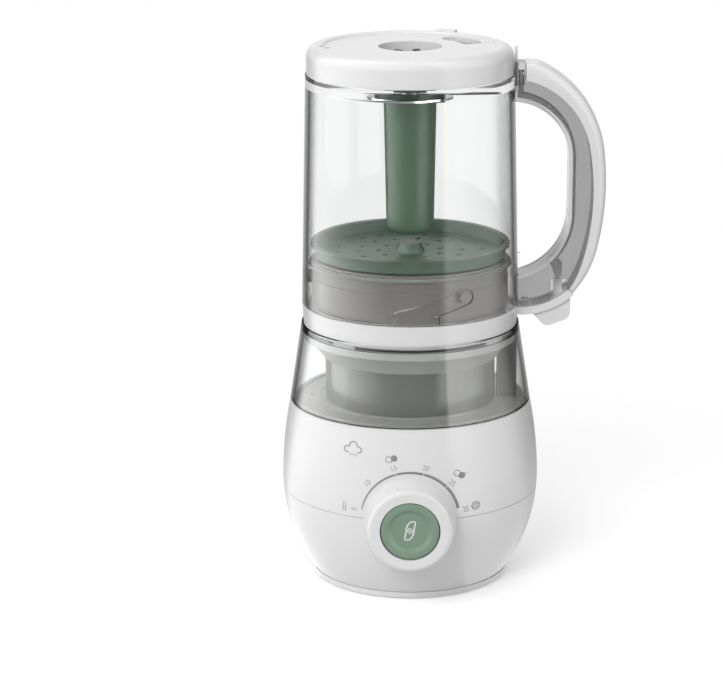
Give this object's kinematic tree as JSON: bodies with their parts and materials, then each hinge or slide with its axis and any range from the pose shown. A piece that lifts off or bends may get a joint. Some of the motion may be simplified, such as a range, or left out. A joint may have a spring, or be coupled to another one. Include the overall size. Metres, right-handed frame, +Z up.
{
  "type": "baby food maker",
  "caption": "Countertop baby food maker: round white base with dial and clear water tank, and a clear handled steaming and blending jar standing upside down on it.",
  "frame": {"origin": "on the machine's vertical axis, in the plane that its foot rests on", "axes": "+Z up, -Y out of the front where the dial is, +X towards the jar's handle"},
  "size_m": [0.1854, 0.1663, 0.3106],
  "materials": {
    "white_abs": "glossy white moulding",
    "inner_white": "matt white moulding",
    "clear_jar": "clear, polished",
    "clear_tank": "clear, polished",
    "frosted_collar": "translucent white",
    "floor_grey": "light grey moulding",
    "lid_grey": "warm grey moulding",
    "tower_grey": "grey moulding",
    "hub_green": "sage green moulding",
    "button_green": "sage green moulding",
    "tray_green": "translucent green moulding",
    "black_rubber": "matt black rubber",
    "silicone": "milky silicone rubber",
    "dark_nylon": "matt black moulding",
    "beige_plastic": "beige moulding",
    "board_green": "circuit board",
    "steel": "plain steel",
    "blade_steel": "ground and polished steel",
    "lamination_steel": "varnished steel laminations",
    "cast_aluminium": "die-cast",
    "copper": null,
    "brass_sheet": "pressed brass"
  },
  "bodies": {
    "base": {"foot_ring": "black_rubber", "base_plate": "white_abs", "lower_shell": "white_abs", "upper_shell": "white_abs", "tank_gasket": "black_rubber", "tank_floor": "floor_grey", "tank_shell": "clear_tank", "seat_collar": "frosted_collar", "core_tower": "tower_grey", "interlock_duct": "clear_tank", "steam_nozzle": "tower_grey", "steam_pipe": "silicone", "heater_block": "cast_aluminium", "heater_element": "steel", "thermostats": "dark_nylon", "water_hose": "silicone", "motor_plate": "dark_nylon", "motor_dampers": "black_rubber", "motor_brackets": "steel", "motor_bearings": "steel", "stator_core": "lamination_steel", "field_coils": "copper", "brush_holders": "brass_sheet", "shaft_seal": "black_rubber", "control_board": "board_green", "board_bracket": "inner_white", "encoder_body": "dark_nylon", "blend_switch": "dark_nylon", "interlock_switch": "dark_nylon", "cord_grommet": "black_rubber", "terminal_block": "beige_plastic", "base_screws": "steel", "button_spring": "steel", "rod_spring": "steel"},
    "lid": {"lid_ring": "white_abs", "lid_plug": "lid_grey", "lid_seal": "silicone", "steam_tray": "tray_green"},
    "spindle_bush": {"spindle_bush": "inner_white"},
    "jar": {"jar_body": "clear_jar", "handle_core": "clear_jar", "handle_spine": "white_abs", "end_cap": "white_abs", "interlock_band": "inner_white", "pin_spring": "steel"},
    "blade_unit": {"blade_hub": "hub_green", "blades": "blade_steel", "blade_spindle": "steel", "blade_coupling": "dark_nylon"},
    "interlock_pin": {"interlock_pin": "inner_white"},
    "rotor": {"rotor_shaft": "steel", "rotor_core": "lamination_steel", "commutator": "copper", "cooling_fan": "inner_white", "drive_coupling": "dark_nylon"},
    "knob": {"knob_ring": "white_abs", "knob_sleeve": "inner_white"},
    "button": {"blend_button": "button_green", "button_plunger": "inner_white"},
    "interlock_rod": {"interlock_rod": "inner_white"}
  },
  "joints": [
    {"name": "jar_lift", "type": "slide", "parent": "base", "child": "lid", "axis": [0, 0, 1], "range_m": [0, 0.1]},
    {"name": "jar_rise", "type": "slide", "parent": "lid", "child": "spindle_bush", "axis": [0, 0, 1], "range_m": [0, 0.0081]},
    {"name": "jar_turn", "type": "hinge", "parent": "spindle_bush", "child": "jar", "pos_m": [0, 0, 0], "axis": [0, 0, 1], "range_deg": [0, 27]},
    {"name": "blade_spin", "type": "hinge", "parent": "jar", "child": "blade_unit", "pos_m": [0, 0, 0], "axis": [0, 0, 1], "continuous": true},
    {"name": "pin_slide", "type": "slide", "parent": "jar", "child": "interlock_pin", "axis": [0, 0, 1], "range_m": [-0.0031, 0], "deforming": ["pin_spring", "interlock_band"]},
    {"name": "motor_spin", "type": "hinge", "parent": "base", "child": "rotor", "pos_m": [0, 0, 0], "axis": [0, 0, 1], "continuous": true},
    {"name": "knob_turn", "type": "hinge", "parent": "base", "child": "knob", "pos_m": [0, -0.08, 0.0528], "axis": [0, 1, 0], "range_deg": [-90, 90]},
    {"name": "blend_press", "type": "slide", "parent": "base", "child": "button", "axis": [0, 1, 0], "range_m": [0, 0.003], "stiffness_N_per_m": 600, "springref_m": -0.0015, "deforming": ["button_spring"]},
    {"name": "rod_press", "type": "slide", "parent": "base", "child": "interlock_rod", "axis": [0, 0, -1], "range_m": [0, 0.004], "stiffness_N_per_m": 250, "springref_m": -0.002, "deforming": ["rod_spring"]}
  ],
  "couplings": [
    {"joint": "jar_rise", "follows": "jar_turn", "m_per_rad": 0.016976},
    {"joint": "pin_slide", "follows": "jar_turn", "m_per_rad": -0.0063662}
  ]
}
